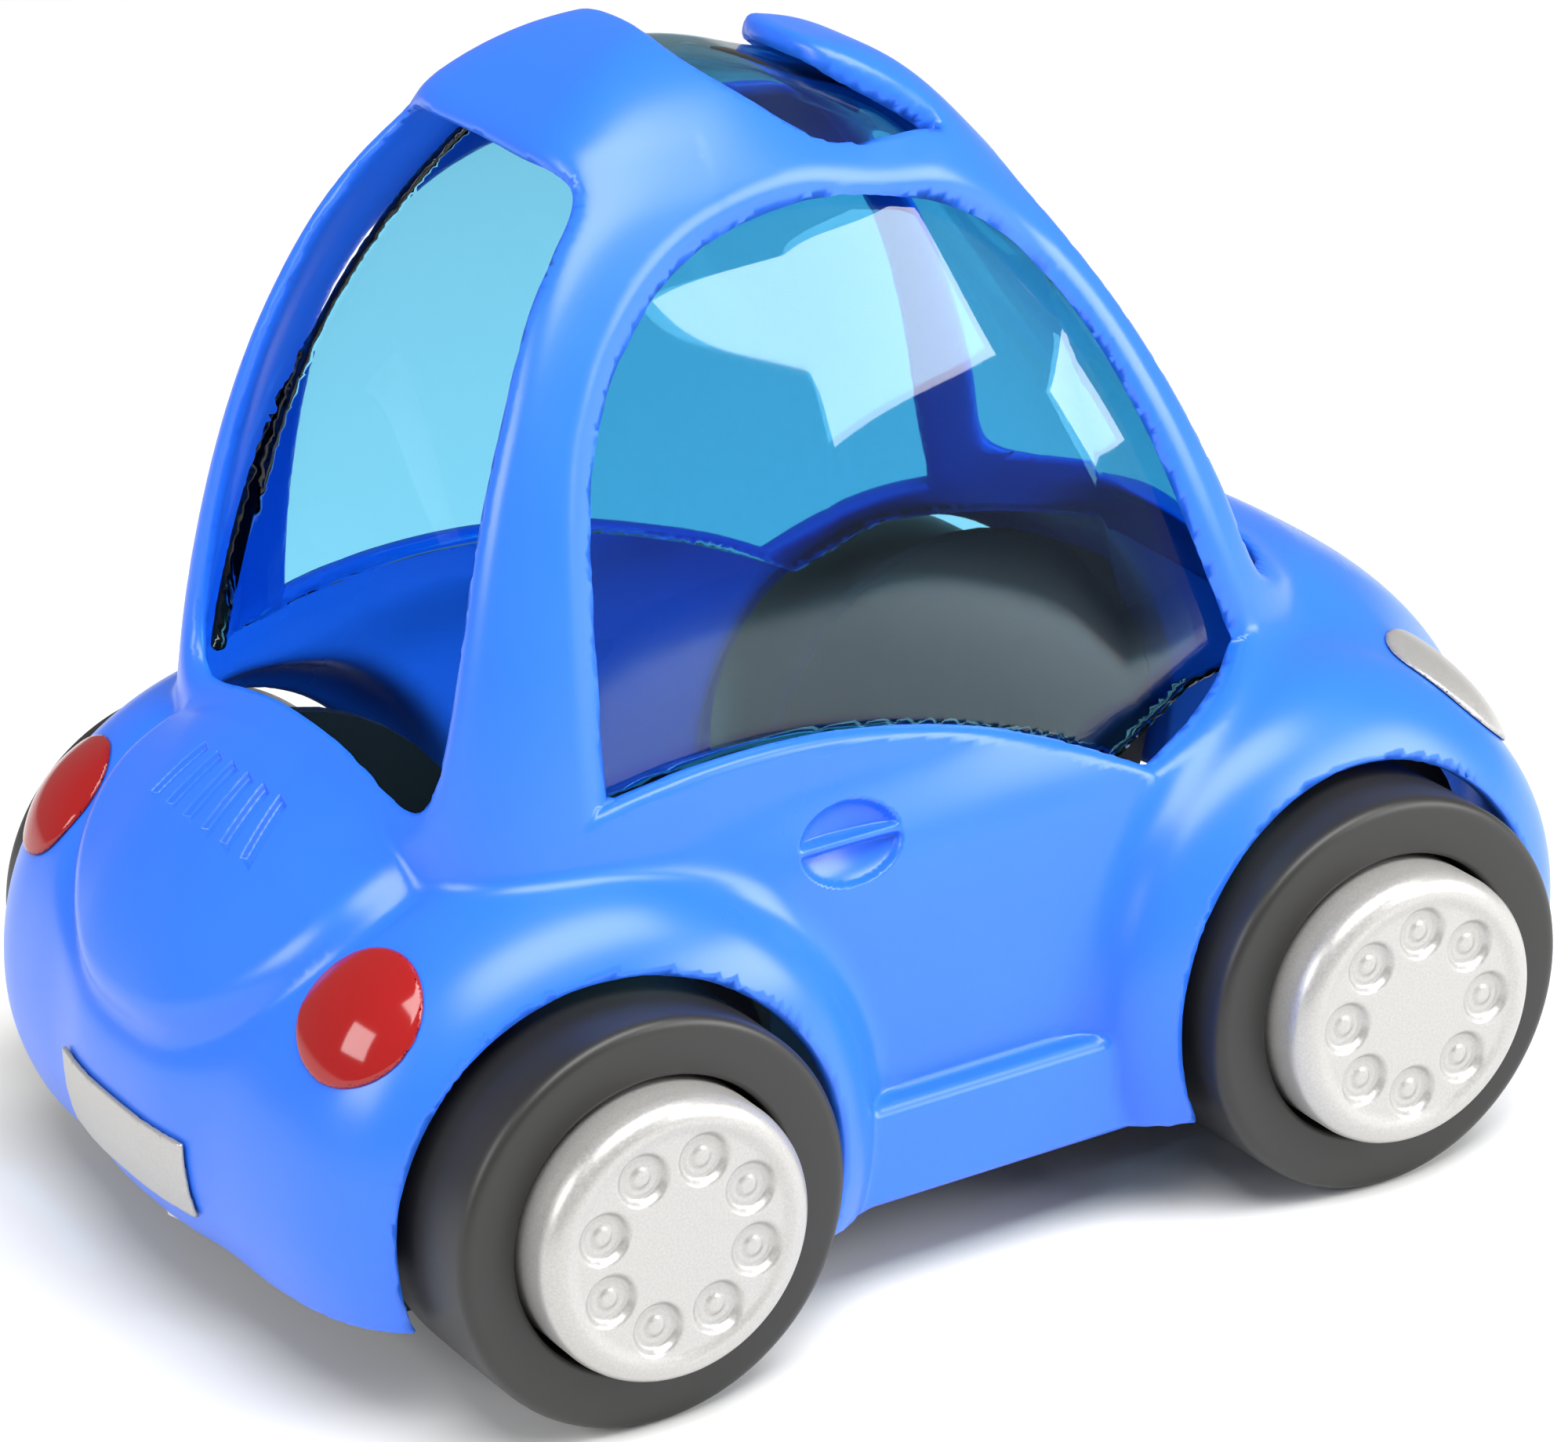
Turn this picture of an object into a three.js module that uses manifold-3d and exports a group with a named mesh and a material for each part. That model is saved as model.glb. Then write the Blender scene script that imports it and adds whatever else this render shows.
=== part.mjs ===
// A toy pull back car: a moulded body shell and a tinted window canopy over a chassis that holds
// a clockwork motor, two axles and four wheels. Millimetres, +Z up. The front faces -Y and the
// car's left side is +X. The shapes are drawn from the middle of the wheelbase, and the last step
// moves the car so that the origin lies on the ground under the middle of its body.
import * as THREE from "three";
import { mergeVertices } from "three/addons/utils/BufferGeometryUtils.js";
import Module from "manifold-3d";

const wasm = await Module();
wasm.setup();

// ---- Driving dimensions ----
const GAP = 0.3; // between pieces that touch
const WALL = 2.2; // body shell
const GLASS = 1.5; // window canopy

const WHEELBASE = 76.6;
const AXLE_Y = WHEELBASE / 2;
const AXLE_Z = 19; // the tyres stand on the ground
const TYRE_R = 19;
const TYRE_BORE_R = 13.5;
const TYRE_IN_X = 28.4;
const TYRE_OUT_X = 45.8;
const HUB_R = 13.1;
const HUB_OUT_X = 50.1;
const DIMPLES = 8;
const DIMPLE_RING_R = 7.7;
const DIMPLE_R = 2.6;
const AXLE_R = 1.5;

const REAR_Y = 68.5; // how far the body reaches behind the middle
const FRONT_Y = 75; // and in front of it
const BODY_HALF_WIDTH = 46;
const DOOR_HALF_WIDTH = 36;
const WAIST_Z = 20; // height at which the body is longest
const SHELL_BOTTOM_Z = 10;
const WHEELBASE_SHIFT = 2.7; // from the middle of the body back to the middle of the wheelbase
const ARCH_R = 20.4;
const ROOF_Z = 109.7;
const CABIN_BASE_Z = 15;

const POST_YS = [-61, 60.5]; // screw posts under the hood and the trunk lid
const POST_R = 3.4;
const POST_HOLE_R = 1.1;

const FLOOR_Z = 7.5;
const FLOOR_T = 1.8;
const WELL_Z = 10; // the body screws' heads sit up inside wells in the floor
const WELL_R = 3.1;
const WELL_WALL = 1.3;
const POST_BOTTOM_Z = WELL_Z + WELL_WALL + GAP;
const HOUSE_R = 22.3; // wheel house walls
const HOUSE_IN_X = 25.8;
const HOUSE_OUT_X = 27.4;

const HEADLIGHT_AT = [28, -59, 39.5]; // left lamps; the right ones mirror them
const HEADLIGHT_AXIS = [0.35, -0.72, 0.6];
const HEADLIGHT_R = 7.4;
const TAILLIGHT_AT = [29.2, 57.6, 38];
const TAILLIGHT_AXIS = [0.14, 0.82, 0.55];
const TAILLIGHT_R = 6.4;
const SEAT = 1; // how far a lamp's rim stands off at its centre

const AXLE_END_X = 46.2;
const RUNNING = 0.4; // clearance round a shaft that turns
const MOTOR_SCREW_R = 0.8;
const SCREW_HEAD = 0.6; // height of a screw's head, as a share of its radius

const MODULE = 0.7;
const PRESSURE = (20 * Math.PI) / 180;
const BACKLASH = 0.84; // share of the pitch that a tooth keeps
const PINION_TEETH = 10;
const LARGE_TEETH = 20;
const WINDING_TEETH = 24;
const PIN_R = 1;
const LAYSHAFT = [AXLE_Y - 10.5 * Math.cos(0.1), AXLE_Z + 10.5 * Math.sin(0.1)]; // [y, z]
const ARBOR = [LAYSHAFT[0] - 11.9, LAYSHAFT[1]];
const CASE = { x: 9.5, y0: 5.6, y1: 44.4, z0: FLOOR_Z + FLOOR_T + GAP, z1: 31, wall: 1.2 };
const EAR_Z = 14;
const EAR_Y = 12;
const EAR_T = 1.6;
const EAR_HALF = 3.2;
const EAR_REACH = 6;
const MOTOR_SCREWS = [
  [-12.6, EAR_Y],
  [12.6, EAR_Y],
];
const SPRING = { x0: 2.2, x1: 7.4, inner: 2.5, outer: 8, strip: 0.4, turns: 3.5 };

const PURE = {
  blue: new THREE.Color(0.1, 0.26, 0.9),
  black: new THREE.Color(0.05, 0.05, 0.05),
  silver: new THREE.Color(0.55, 0.54, 0.52),
  red: new THREE.Color(0.5, 0.02, 0.02),
  tint: new THREE.Color(0.1, 0.5, 0.75),
  steel: new THREE.Color(0.6, 0.6, 0.6),
  white: new THREE.Color(0.85, 0.84, 0.8),
};

function paint(colour, roughness, metalness) {
  return new THREE.MeshStandardMaterial({ color: PURE[colour], roughness, metalness });
}

const SHELL_PAINT = paint("blue", 0.35, 0);
const CANOPY_PAINT = paint("tint", 0.08, 0);
CANOPY_PAINT.transparent = true;
CANOPY_PAINT.opacity = 0.5;
const CHASSIS_PAINT = paint("black", 0.5, 0);
const TYRE_PAINT = paint("black", 0.65, 0);
const SILVER_PAINT = paint("silver", 0.35, 0.6);
const LAMP_PAINT = paint("red", 0.1, 0);
const GEAR_PAINT = paint("white", 0.45, 0);
const STEEL_PAINT = paint("steel", 0.3, 1);
const SPRING_PAINT = paint("steel", 0.4, 1);
const CASE_PAINT = paint("black", 0.4, 0);

// ---- Solids ----
// Shares the vertices of neighbouring faces, so that the surface is closed.
function weld(geometry) {
  geometry.deleteAttribute("normal");
  geometry.deleteAttribute("uv");
  return mergeVertices(geometry, 1e-4);
}

function solid(geometry) {
  return new wasm.Manifold(
    new wasm.Mesh({
      numProp: 3,
      vertProperties: new Float32Array(geometry.attributes.position.array),
      triVerts: new Uint32Array(geometry.index.array),
    }),
  );
}

function geometryOf(body) {
  const mesh = body.getMesh();
  const geometry = new THREE.BufferGeometry();
  geometry.setAttribute("position", new THREE.BufferAttribute(mesh.vertProperties, 3));
  geometry.setIndex(new THREE.BufferAttribute(mesh.triVerts, 1));
  geometry.computeVertexNormals();
  return geometry;
}

function box(x0, x1, y0, y1, z0, z1) {
  return weld(new THREE.BoxGeometry(x1 - x0, y1 - y0, z1 - z0)).translate(
    (x0 + x1) / 2,
    (y0 + y1) / 2,
    (z0 + z1) / 2,
  );
}

// A round bar along X, Y or Z from one end to the other, with its axis through (a, b).
function bar(axis, radius, from, to, a, b, sides = 24) {
  const geometry = weld(new THREE.CylinderGeometry(radius, radius, to - from, sides));
  const middle = (from + to) / 2;
  if (axis === "x") return geometry.rotateZ(Math.PI / 2).translate(middle, a, b);
  if (axis === "y") return geometry.translate(a, middle, b);
  return geometry.rotateX(Math.PI / 2).translate(a, b, middle);
}

// A closed profile of [radius, x] pairs turned round an axis along X through (y, z).
function turned(profile, y, z, sides = 40) {
  const points = profile.map(([r, x]) => new THREE.Vector2(r, x));
  return weld(new THREE.LatheGeometry(points, sides)).rotateZ(-Math.PI / 2).translate(0, y, z);
}

function extruded(outline, depth) {
  const shape = new THREE.Shape(outline.map(([a, b]) => new THREE.Vector2(a, b)));
  return weld(new THREE.ExtrudeGeometry(shape, { depth, bevelEnabled: false }));
}

// An outline of [y, z] points pushed along X.
function plateAlongX(outline, x0, x1) {
  const geometry = extruded(outline, x1 - x0);
  // (y, z, along) to (along, y, z)
  return geometry.applyMatrix4(new THREE.Matrix4().set(0, 0, 1, x0, 1, 0, 0, 0, 0, 1, 0, 0, 0, 0, 0, 1));
}

// An outline of [x, z] points pushed along Y.
function plateAlongY(outline, y0, y1) {
  return extruded(outline, y1 - y0).rotateX(Math.PI / 2).translate(0, y1, 0);
}

// An outline of [x, y] points pushed along Z.
function plateAlongZ(outline, z0, z1) {
  return extruded(outline, z1 - z0).translate(0, 0, z0);
}

function joined(...pieces) {
  return pieces.map((p) => (p.isBufferGeometry ? solid(p) : p)).reduce((a, b) => a.add(b));
}

function cut(body, ...tools) {
  const from = body.isBufferGeometry ? solid(body) : body;
  return tools.map((t) => (t.isBufferGeometry ? solid(t) : t)).reduce((a, b) => a.subtract(b), from);
}

const group = new THREE.Group();
function add(name, shape, material) {
  const geometry = shape.isBufferGeometry ? shape : geometryOf(shape);
  const mesh = new THREE.Mesh(geometry, material);
  mesh.name = name;
  group.add(mesh);
  return mesh;
}

// ---- The body's form: signed distances in millimetres, negative inside ----
const power = (value, half, exponent) => Math.pow(Math.abs(value) / half, exponent);

// Turns a level function (1 on the surface) into a distance with its own slope.
function distance(level, x, y, z) {
  const h = 0.01;
  const f = level(x, y, z);
  const slope = Math.hypot(level(x + h, y, z) - f, level(x, y + h, z) - f, level(x, y, z + h) - f) / h;
  return (f - 1) / Math.max(slope, 1e-6);
}

function softMin(a, b, radius) {
  const t = Math.max(radius - Math.abs(a - b), 0) / radius;
  return Math.min(a, b) - (t * t * radius) / 4;
}

const softMax = (a, b, radius) => -softMin(-a, -b, radius);

// 0 below one value and 1 above the other, with a smooth rise between them.
function ramp(value, low, high) {
  const t = Math.min(Math.max((value - low) / (high - low), 0), 1);
  return t * t * (3 - 2 * t);
}

// The cabin is squarer behind its middle than in front of it.
const CABIN = { y: 6.3, rear: 43.6, front: 62.8, half: 34.6, blend: 30 };
function cabin(x, y, z) {
  const length = y > CABIN.y ? CABIN.rear : CABIN.front;
  const rearward = ramp(y, CABIN.y - CABIN.blend, CABIN.y);
  const square = 3.5 + 2.2 * rearward;
  const upright = 1.67 + 0.57 * rearward;
  const plan = power(x, CABIN.half, square) + power(y - CABIN.y, length, square);
  const rise = power(Math.max(z - CABIN_BASE_Z, 0), ROOF_Z - CABIN_BASE_Z, upright);
  return Math.pow(Math.pow(plan, upright / square) + rise, 1 / upright);
}

// A rounded hull, longest at the waist, with its own half width and plan exponent.
function hull(half, planExponent, x, y, z) {
  const plan = power(x, half, planExponent) + power(y, y > 0 ? REAR_Y : FRONT_Y, planExponent);
  const height = z > WAIST_Z ? 42 : 32;
  const vertical = 2.2;
  const sum = Math.pow(plan, vertical / planExponent) + power(z - WAIST_Z, height, vertical);
  return Math.pow(sum, 1 / vertical);
}

const outline = (x, y, z) => hull(BODY_HALF_WIDTH, 4, x, y, z);
const deck = (x, y, z) => hull(34, 2.6, x, y, z);

function doors(x, y, z) {
  const height = z > 25 ? power(z - 25, 32.4, 4) : 0;
  return Math.pow(power(x, DOOR_HALF_WIDTH, 4) + power(y, 45, 4) + height, 1 / 4);
}

const FENDER = { x: 28, half: 17.5, radius: 27.5, exponent: 3.3 };
function fenders(x, y, z) {
  const across = power(Math.abs(x) - FENDER.x, FENDER.half, FENDER.exponent);
  const round = power(Math.hypot(Math.abs(y) - AXLE_Y, z - AXLE_Z), FENDER.radius, FENDER.exponent);
  return Math.pow(across + round, 1 / FENDER.exponent);
}

// The roof dips in front of its slot.
const DIP = { depth: 2.4, y: -4, reach: 7.5, low: 92, high: 103 };
function cabinDistance(x, y, z) {
  const along = (y - DIP.y) / DIP.reach;
  return distance(cabin, x, y, z) + DIP.depth * Math.exp(-along * along) * ramp(z, DIP.low, DIP.high);
}

function bodyDistance(x, y, z) {
  const middle = softMin(distance(deck, x, y, z), distance(doors, x, y, z), 3);
  const lower = softMin(middle, distance(fenders, x, y, z), 3 + 5 * ramp(Math.abs(y), 44, 56));
  const trimmed = softMax(lower, distance(outline, x, y, z), 6);
  return softMin(trimmed, cabinDistance(x, y, z), 2.5);
}

// The closed surface at one distance inside a form, found along rays from a point in the middle.
const RAY_CENTRE = new THREE.Vector3(0, 2, 27);
function surfaceAt(form, inset, around, up) {
  const reach = (dir) => {
    let near = 2;
    let far = 130;
    for (let i = 0; i < 26; i++) {
      const r = (near + far) / 2;
      const p = RAY_CENTRE.clone().addScaledVector(dir, r);
      if (form(p.x, p.y, p.z) < -inset) near = r;
      else far = r;
    }
    return near;
  };
  const geometry = weld(new THREE.SphereGeometry(1, around, up)).rotateX(Math.PI / 2);
  const position = geometry.attributes.position;
  const dir = new THREE.Vector3();
  for (let i = 0; i < position.count; i++) {
    dir.fromBufferAttribute(position, i).normalize();
    const r = reach(dir);
    position.setXYZ(i, RAY_CENTRE.x + dir.x * r, RAY_CENTRE.y + dir.y * r, RAY_CENTRE.z + dir.z * r);
  }
  return solid(geometry);
}

// ---- Openings ----
function arc(centreA, centreB, radiusA, radiusB, from, to, steps) {
  const points = [];
  for (let i = 0; i <= steps; i++) {
    const t = ((from + ((to - from) * i) / steps) * Math.PI) / 180;
    points.push([centreA + radiusA * Math.cos(t), centreB + radiusB * Math.sin(t)]);
  }
  return points;
}

// [y, z]: an arch on a sill that follows the tops of the door and the front fender.
function sideWindowOutline() {
  const arch = [
    [33.6, 51],
    [33.4, 61],
    [32.7, 69],
    [31.2, 77],
    [28.5, 83.5],
    [24, 88.6],
    [18.5, 92.4],
    [11.5, 95],
    [4, 96],
    [-3, 95.3],
    [-10, 92.5],
    [-16.5, 88.3],
    [-22.5, 82],
    [-27.4, 74],
    [-31, 65],
    [-33.6, 55],
    [-35.5, 47.5],
  ];
  const sill = [
    [-27, 44.9],
    [-20.8, 42.5],
    [-14, 45.4],
    [-6, 48.7],
    [4, 51.5],
    [12, 52.7],
    [20, 53],
    [27, 52.5],
  ];
  return [...arch, ...sill];
}

// [x, z]: narrow at the roof, widest above the trunk lid.
function rearWindowOutline() {
  const right = [
    [0, 51],
    [10, 50.2],
    [19.5, 49.3],
    [22.8, 51.3],
    [24.2, 56],
    [24.2, 62],
    [23.4, 70],
    [21.9, 80],
    [19.4, 91],
    [17.2, 97],
    [14.5, 100.6],
    [11, 101.8],
    [0, 102],
  ];
  return mirrored(right);
}

function windscreenOutline() {
  const right = [
    [0, 50],
    [19.5, 50.5],
    [23, 53.5],
    [21.1, 61],
    [18.8, 69],
    [15.9, 78],
    [12.5, 87],
    [9, 92.5],
    [0, 94.5],
  ];
  return mirrored(right);
}

// The right half of a closed outline, from bottom to top, completed with its mirror image.
function mirrored(right) {
  const left = right
    .slice(1, -1)
    .reverse()
    .map(([x, z]) => [-x, z]);
  return [...right, ...left];
}

// [x, y]: a crescent across the roof, with its horns forward.
function roofSlotOutline() {
  const right = [
    [0, -3.5],
    [5, -4.5],
    [8.5, -8],
    [11, -12.5],
    [12.4, -13.8],
    [13.6, -11],
    [14.5, -4],
    [13.9, 2],
    [11.6, 6.8],
    [7.5, 9.8],
    [0, 10.4],
  ];
  return mirrored(right);
}

// ---- Body shell ----
const AROUND = 42;
const UP = 27;

const HANDLE = { x: DOOR_HALF_WIDTH - 1.4, y: 11.4, z: 43.4, size: [1.6, 5.4, 3.8] };
const SILL = { x: DOOR_HALF_WIDTH - 1.4, width: 3.8, z: 18.9, chamfer: 1.5, front: -15.5, rear: 21 };

function bodyShell() {
  const outside = surfaceAt(bodyDistance, 0, AROUND, UP);
  const inside = surfaceAt(bodyDistance, WALL, AROUND, UP);
  const [sillIn, sillOut] = [SILL.x, SILL.x + SILL.width];
  const sillSection = [
    [sillIn, SHELL_BOTTOM_Z - 1],
    [sillOut, SHELL_BOTTOM_Z - 1],
    [sillOut, SILL.z - SILL.chamfer],
    [sillOut - SILL.chamfer, SILL.z],
    [sillIn, SILL.z],
  ];
  const sillSections = [sillSection, sillSection.map(([x, z]) => [-x, z]).reverse()];
  const sills = sillSections.map((section) => plateAlongY(section, SILL.front, SILL.rear));
  const posts = POST_YS.map((y) => bar("z", POST_R, POST_BOTTOM_Z, ROOF_Z, 0, y, 16));
  const holes = POST_YS.map((y) => bar("z", POST_HOLE_R, 0, 26, 0, y, 10));
  const handles = [-1, 1].map((side) => {
    const boss = weld(new THREE.SphereGeometry(1, 16, 10)).scale(...HANDLE.size);
    return boss.translate(side * HANDLE.x, HANDLE.y, HANDLE.z);
  });
  const arches = [-AXLE_Y, AXLE_Y].flatMap((y) => [
    bar("x", ARCH_R, 26, 60, y, AXLE_Z, 48),
    bar("x", ARCH_R, -60, -26, y, AXLE_Z, 48),
  ]);
  const windows = [
    plateAlongX(sideWindowOutline(), -60, -8),
    plateAlongX(sideWindowOutline(), 8, 60),
    plateAlongY(rearWindowOutline(), 18, 90),
    plateAlongY(windscreenOutline(), -90, -16),
    plateAlongZ(roofSlotOutline(), 90, 120),
  ];
  const below = box(-80, 80, -100, 100, -130, SHELL_BOTTOM_Z);
  const whole = joined(cut(outside, inside), ...sills, ...handles);
  const framed = cut(whole, ...windows, ...arches, below);
  return cut(framed.add(joined(...posts).intersect(outside)), ...holes, ...ventSlots());
}

// Six shallow slots fan out across the top of the trunk lid.
function ventSlots() {
  const slots = [];
  for (let i = 0; i < 6; i++) {
    const x = (i - 2.5) * 3.4;
    slots.push(box(-0.65, 0.65, -2.8, 2.8, -1, 1).rotateX(-0.62).translate(x, 54.6, 45.9));
  }
  return slots;
}

// The tinted canopy glazes the sides, the windscreen and the roof slot, and is open behind the
// rear window, where its edge stays just out of sight.
// Its lower edge follows the sills of the side windows.
function windowCanopy() {
  const outside = surfaceAt(cabinDistance, WALL + 2 * GAP, AROUND, UP);
  const inside = surfaceAt(cabinDistance, WALL + 2 * GAP + GLASS, AROUND, UP);
  const below = plateAlongX(
    [
      [60, -130],
      [60, 51],
      [36, 50.5],
      [28, 51.8],
      [20, 52.4],
      [12, 52],
      [4, 50.8],
      [-6, 47.8],
      [-14, 44.6],
      [-20.8, 41.6],
      [-27, 44],
      [-34, 46.5],
      [-80, 46.5],
      [-80, -130],
    ],
    -60,
    60,
  );
  const grown = rearWindowOutline().map(([x, z]) => [x * 1.05, 76 + (z - 76) * 1.03]);
  const rearward = plateAlongX(
    [
      [38, 30],
      [90, 30],
      [90, 120],
      [12, 120],
      [15.6, 101],
      [22, 93],
      [27.5, 85],
      [34.5, 70],
      [37.8, 55],
    ],
    -60,
    60,
  );
  const opening = solid(plateAlongY(grown, 10, 90)).intersect(solid(rearward));
  return cut(outside, inside, below, opening);
}

// ---- Lamps and number plate: thin pieces that lie on the shell ----
// A disc about its own axis, domed by a ball and seated on the shell.
function lamp(side, at, axis, radius, rise) {
  const dir = new THREE.Vector3(side * at[0], at[1], at[2]).sub(RAY_CENTRE).normalize();
  const along = new THREE.Vector3(side * axis[0], axis[1], axis[2]).normalize();
  const on = (r) => RAY_CENTRE.clone().addScaledVector(dir, r);
  const level = (p) => bodyDistance(p.x, p.y, p.z);
  let r = 20;
  while (level(on(r)) < 0) r += 0.05;
  const seat = on(r);
  const ball = (radius * radius + rise * rise) / (2 * rise);
  const centre = seat.clone().addScaledVector(along, rise + SEAT - ball);
  const dome = solid(weld(new THREE.IcosahedronGeometry(ball, 7)).translate(...centre));
  const turn = new THREE.Quaternion().setFromUnitVectors(new THREE.Vector3(0, 1, 0), along);
  const disc = weld(new THREE.CylinderGeometry(radius, radius, 12, 30));
  disc.applyQuaternion(turn).translate(...seat);
  return cut(dome.intersect(solid(disc)), shellSkin(GAP));
}

const skins = new Map();
// The form of the body grown by a margin.
function shellSkin(margin) {
  if (!skins.has(margin)) skins.set(margin, surfaceAt(bodyDistance, -margin, AROUND, UP));
  return skins.get(margin);
}

function numberPlate() {
  const slab = cut(shellSkin(GAP + 0.9), shellSkin(GAP));
  return slab.intersect(solid(box(-12.1, 12.1, 40, 90, 13.7, 21.2)));
}

// ---- Wheels ----
function tyre(side, y) {
  const round = 1.2;
  const profile = [
    [TYRE_BORE_R, TYRE_IN_X],
    [TYRE_R - 2, TYRE_IN_X],
    [TYRE_R - 0.6, TYRE_IN_X + 0.6],
    [TYRE_R, TYRE_IN_X + 2],
    [TYRE_R, TYRE_OUT_X - round],
    [TYRE_R - 0.35, TYRE_OUT_X - 0.35],
    [TYRE_R - round, TYRE_OUT_X],
    [TYRE_BORE_R, TYRE_OUT_X],
  ];
  profile.push(profile[0]);
  return sided(profile, side, y, 32);
}

// A turned profile drawn on the left side of the car, mirrored for the right.
function sided(profile, side, y, sides) {
  const placed = side > 0 ? profile : profile.map(([r, x]) => [r, -x]).reverse();
  return outward(turned(placed, y, AXLE_Z, sides));
}

// Turns the faces round where a profile was drawn the other way about.
function outward(geometry) {
  const body = solid(geometry);
  if (body.volume() >= 0) return body;
  const index = geometry.index.array;
  for (let i = 0; i < index.length; i += 3) [index[i + 1], index[i + 2]] = [index[i + 2], index[i + 1]];
  return solid(geometry);
}

function hub(side, y, turn) {
  const rim = 2.2;
  const face = HUB_OUT_X;
  const profile = [
    [0, face],
    [HUB_R - rim, face],
    [HUB_R - 0.65, face - 0.65],
    [HUB_R, face - rim],
    [HUB_R, TYRE_IN_X + 2],
    [HUB_R - 2, TYRE_IN_X + 2],
    [HUB_R - 2, face - 4],
    [4.4, face - 4],
    [4.4, TYRE_IN_X + 0.4],
    [AXLE_R + GAP, TYRE_IN_X + 0.4],
    [AXLE_R + GAP, face - 3],
    [0, face - 3],
  ];
  const wheel = sided(profile, side, y, 28);
  const dimples = [];
  for (let i = 0; i < DIMPLES; i++) {
    const angle = turn + (i * 2 * Math.PI) / DIMPLES;
    const bowl = [
      [0, face - 1],
      [1.3, face - 0.75],
      [DIMPLE_R, face + 0.1],
      [0, face + 0.1],
    ].map(([r, x]) => [r, side * x]);
    const at = [y + DIMPLE_RING_R * Math.cos(angle), AXLE_Z + DIMPLE_RING_R * Math.sin(angle)];
    dimples.push(outward(turned(bowl, ...at, 10)));
  }
  return cut(wheel, ...dimples);
}

// ---- Chassis ----
function chassis() {
  const top = FLOOR_Z + FLOOR_T;
  const floor = joined(
    box(-31, 31, -16, 16, FLOOR_Z, top),
    box(-HOUSE_OUT_X, HOUSE_OUT_X, -70, 66, FLOOR_Z, top),
    ...POST_YS.map((y) => bar("z", WELL_R + WELL_WALL, FLOOR_Z, WELL_Z + WELL_WALL, 0, y, 20)),
  );
  const walls = [];
  for (const y of [-AXLE_Y, AXLE_Y]) {
    for (const side of [-1, 1]) {
      const disc = arc(y, AXLE_Z, HOUSE_R, HOUSE_R, -28, 208, 26);
      const [x0, x1] = side > 0 ? [HOUSE_IN_X, HOUSE_OUT_X] : [-HOUSE_OUT_X, -HOUSE_IN_X];
      walls.push(plateAlongX(disc, x0, x1));
    }
  }
  const bearings = [-1, 1].map((side) =>
    box(side * 12 - 2, side * 12 + 2, -AXLE_Y - 4.5, -AXLE_Y + 4.5, FLOOR_Z, AXLE_Z + 4),
  );
  const bosses = MOTOR_SCREWS.map(([x, y]) => bar("z", 2.6, FLOOR_Z, EAR_Z - GAP, x, y, 14));
  const whole = joined(floor, ...walls, ...bearings, ...bosses);
  const trimmed = whole.intersect(surfaceAt(bodyDistance, WALL + 2 * GAP, AROUND, UP));
  return cut(
    trimmed,
    ...[-AXLE_Y, AXLE_Y].map((y) => bar("x", AXLE_R + RUNNING, -40, 40, y, AXLE_Z, 16)),
    ...POST_YS.map((y) => bar("z", POST_HOLE_R, 0, 20, 0, y, 12)),
    ...POST_YS.map((y) => bar("z", WELL_R, 0, WELL_Z, 0, y, 16)),
    ...MOTOR_SCREWS.map(([x, y]) => bar("z", MOTOR_SCREW_R + GAP, FLOOR_Z + 1.5, 30, x, y, 10)),
  );
}

// A pan head on a shank: z is the underside of the head, and it points down where up is -1.
function screw(x, y, z, up, length, shank, head) {
  const tall = head * SCREW_HEAD;
  return joined(
    bar("z", shank, Math.min(z, z - up * length), Math.max(z, z - up * length), x, y, 10),
    bar("z", head, Math.min(z, z + up * tall), Math.max(z, z + up * tall), x, y, 12),
  );
}

// ---- Motor ----
const rad = (degrees) => (degrees * Math.PI) / 180;

// An involute gear's outline with one tooth centred on the angle given.
function gearOutline(teeth, toothAngle) {
  const pitch = (MODULE * teeth) / 2;
  const base = pitch * Math.cos(PRESSURE);
  const tip = pitch + 0.85 * MODULE;
  const root = pitch - 1.15 * MODULE;
  const involute = (r) => {
    const a = Math.acos(Math.min(base / r, 1));
    return Math.tan(a) - a;
  };
  const half = (r) => (Math.PI / (2 * teeth)) * BACKLASH + involute(pitch) - involute(Math.max(r, base));
  const flank = [root, pitch, tip];
  const points = [];
  for (let i = 0; i < teeth; i++) {
    const middle = toothAngle + (i * 2 * Math.PI) / teeth;
    const rising = flank.map((r) => [r, middle - half(r)]);
    const falling = flank.map((r) => [r, middle + half(r)]).reverse();
    points.push(...rising, ...falling);
  }
  return points.map(([r, a]) => [r * Math.cos(a), r * Math.sin(a)]);
}

function gear(teeth, toothAngle, [y, z], x0, x1) {
  const outline = gearOutline(teeth, toothAngle).map(([a, b]) => [y + a, z + b]);
  return plateAlongX(outline, x0, x1);
}

// The angle at which a gear's tooth points so that a gap faces its driver.
const meshing = (from, to, teeth) => Math.atan2(from[1] - to[1], from[0] - to[0]) + Math.PI / teeth;
const facing = (from, to) => Math.atan2(to[1] - from[1], to[0] - from[0]);

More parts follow.
